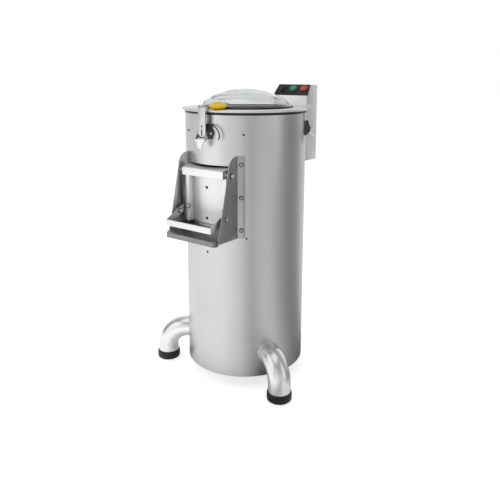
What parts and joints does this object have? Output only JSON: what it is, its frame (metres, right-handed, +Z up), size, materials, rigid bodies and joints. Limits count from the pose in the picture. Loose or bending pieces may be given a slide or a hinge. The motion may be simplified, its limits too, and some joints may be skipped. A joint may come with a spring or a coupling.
{
  "type": "electric potato peeler",
  "caption": "Floor-standing drum peeler with a spinning abrasive disc, clear domed lid with clamps, side discharge chute with a hinged door, bent-tube legs and a rear control box.",
  "frame": {"origin": "on the floor, under the centre of the whole machine's box", "axes": "+Z up, -Y forwards out of the discharge chute, +X to the right in the front view"},
  "size_m": [0.5684, 0.6388, 0.9814],
  "materials": {
    "steel": "satin brushed stainless sheet",
    "bright_steel": "bright polished stainless",
    "dark_steel": "darkened steel",
    "cast_metal": "rough cast metal",
    "rubber": "black moulded rubber",
    "abrasive": "rubberised grit coating",
    "clear_plastic": "clear moulded polycarbonate",
    "black_plastic": "black moulded plastic",
    "dark_green_plastic": "dark green moulded plastic",
    "dark_red_plastic": "dark red moulded plastic",
    "green_plastic": "glossy green plastic",
    "red_plastic": "glossy red plastic",
    "yellow_plastic": "glossy yellow plastic",
    "motor_paint": "grey-blue motor enamel"
  },
  "bodies": {
    "machine": {"drum_shell": "steel", "chamber_floor": "steel", "bottom_cover": "steel", "chute_side_right": "steel", "chute_side_left": "steel", "chute_floor": "steel", "box_housing": "steel", "box_back_cover": "steel", "motor_plate": "steel", "leg_front_right": "bright_steel", "leg_rear": "bright_steel", "leg_front_left": "bright_steel", "door_hinge_bolt_right": "bright_steel", "door_hinge_bolt_left": "bright_steel", "bail_bolt_right": "bright_steel", "bail_bolt_left": "bright_steel", "upper_bearing": "bright_steel", "lower_bearing": "bright_steel", "water_inlet": "bright_steel", "clamp_bracket_front": "dark_steel", "clamp_bracket_right": "dark_steel", "clamp_bracket_left": "dark_steel", "bearing_housing": "cast_metal", "foot_front_right": "rubber", "foot_rear": "rubber", "foot_front_left": "rubber", "shaft_seal": "rubber", "drive_belt": "rubber", "chamber_liner": "abrasive", "control_panel": "black_plastic", "cable_gland": "black_plastic", "start_bezel": "dark_green_plastic", "stop_bezel": "dark_red_plastic", "motor": "motor_paint"},
    "lid": {"lid_ring": "bright_steel", "lid_gasket": "rubber", "dome_seal": "rubber", "lid_dome": "clear_plastic", "lid_knob": "yellow_plastic"},
    "strap_front": {"clamp_strap_front": "bright_steel"},
    "strap_right": {"clamp_strap_right": "bright_steel"},
    "strap_left": {"clamp_strap_left": "bright_steel"},
    "lever_front": {"clamp_lever_front": "bright_steel"},
    "lever_right": {"clamp_lever_right": "bright_steel"},
    "lever_left": {"clamp_lever_left": "bright_steel"},
    "door": {"door_frame": "bright_steel", "door_panel": "bright_steel", "door_liner": "abrasive", "door_seal": "rubber", "door_screw_upper": "dark_steel", "door_screw_lower": "dark_steel"},
    "chute_bail": {"bail": "bright_steel"},
    "start_press": {"start_button": "green_plastic"},
    "stop_press": {"stop_button": "red_plastic"},
    "timer": {"timer_knob": "black_plastic"},
    "rotor": {"abrasive_disc": "abrasive", "main_shaft": "bright_steel", "driven_pulley": "cast_metal"},
    "motor_rotor": {"motor_shaft": "bright_steel", "motor_pulley": "cast_metal"}
  },
  "joints": [
    {"name": "lid_lift", "type": "slide", "parent": "machine", "child": "lid", "axis": [0, 0, 1], "range_m": [0, 0.06]},
    {"name": "strap_front_swing", "type": "hinge", "parent": "lid", "child": "strap_front", "pos_m": [0, -0.2444, 0.916], "axis": [-1, 0, 0], "range_deg": [0, 100]},
    {"name": "lever_front_swing", "type": "hinge", "parent": "machine", "child": "lever_front", "pos_m": [0, -0.2394, 0.84], "axis": [-1, 0, 0], "range_deg": [0, 95]},
    {"name": "strap_right_swing", "type": "hinge", "parent": "lid", "child": "strap_right", "pos_m": [0.18706, 0.0796, 0.916], "axis": [0.5, -0.866, 0], "range_deg": [0, 100]},
    {"name": "lever_right_swing", "type": "hinge", "parent": "machine", "child": "lever_right", "pos_m": [0.18273, 0.0771, 0.84], "axis": [0.5, -0.866, 0], "range_deg": [0, 95]},
    {"name": "strap_left_swing", "type": "hinge", "parent": "lid", "child": "strap_left", "pos_m": [-0.18706, 0.0796, 0.916], "axis": [0.5, 0.866, 0], "range_deg": [0, 100]},
    {"name": "lever_left_swing", "type": "hinge", "parent": "machine", "child": "lever_left", "pos_m": [-0.18273, 0.0771, 0.84], "axis": [0.5, 0.866, 0], "range_deg": [0, 95]},
    {"name": "door_swing", "type": "hinge", "parent": "machine", "child": "door", "pos_m": [0, -0.2314, 0.716], "axis": [-1, 0, 0], "range_deg": [0, 75]},
    {"name": "bail_swing", "type": "hinge", "parent": "machine", "child": "chute_bail", "pos_m": [0, -0.2574, 0.587], "axis": [1, 0, 0], "range_deg": [-75, 0]},
    {"name": "start_travel", "type": "slide", "parent": "machine", "child": "start_press", "axis": [0, 0.795, -0.6067], "range_m": [0, 0.003], "stiffness_N_per_m": 400},
    {"name": "stop_travel", "type": "slide", "parent": "machine", "child": "stop_press", "axis": [0, 0.795, -0.6067], "range_m": [0, 0.003], "stiffness_N_per_m": 400},
    {"name": "timer_turn", "type": "hinge", "parent": "machine", "child": "timer", "pos_m": [-0.043, 0.26042, 0.96404], "axis": [0, 0.795, -0.6067], "range_deg": [0, 270]},
    {"name": "disc_spin", "type": "hinge", "parent": "machine", "child": "rotor", "pos_m": [0, -0.0284, 0.5], "axis": [0, 0, 1], "continuous": true},
    {"name": "motor_spin", "type": "hinge", "parent": "machine", "child": "motor_rotor", "pos_m": [0, 0.0796, 0.15], "axis": [0, 0, 1], "continuous": true}
  ],
  "couplings": [
    {"joint": "motor_spin", "follows": "disc_spin", "ratio": 3.5946}
  ]
}
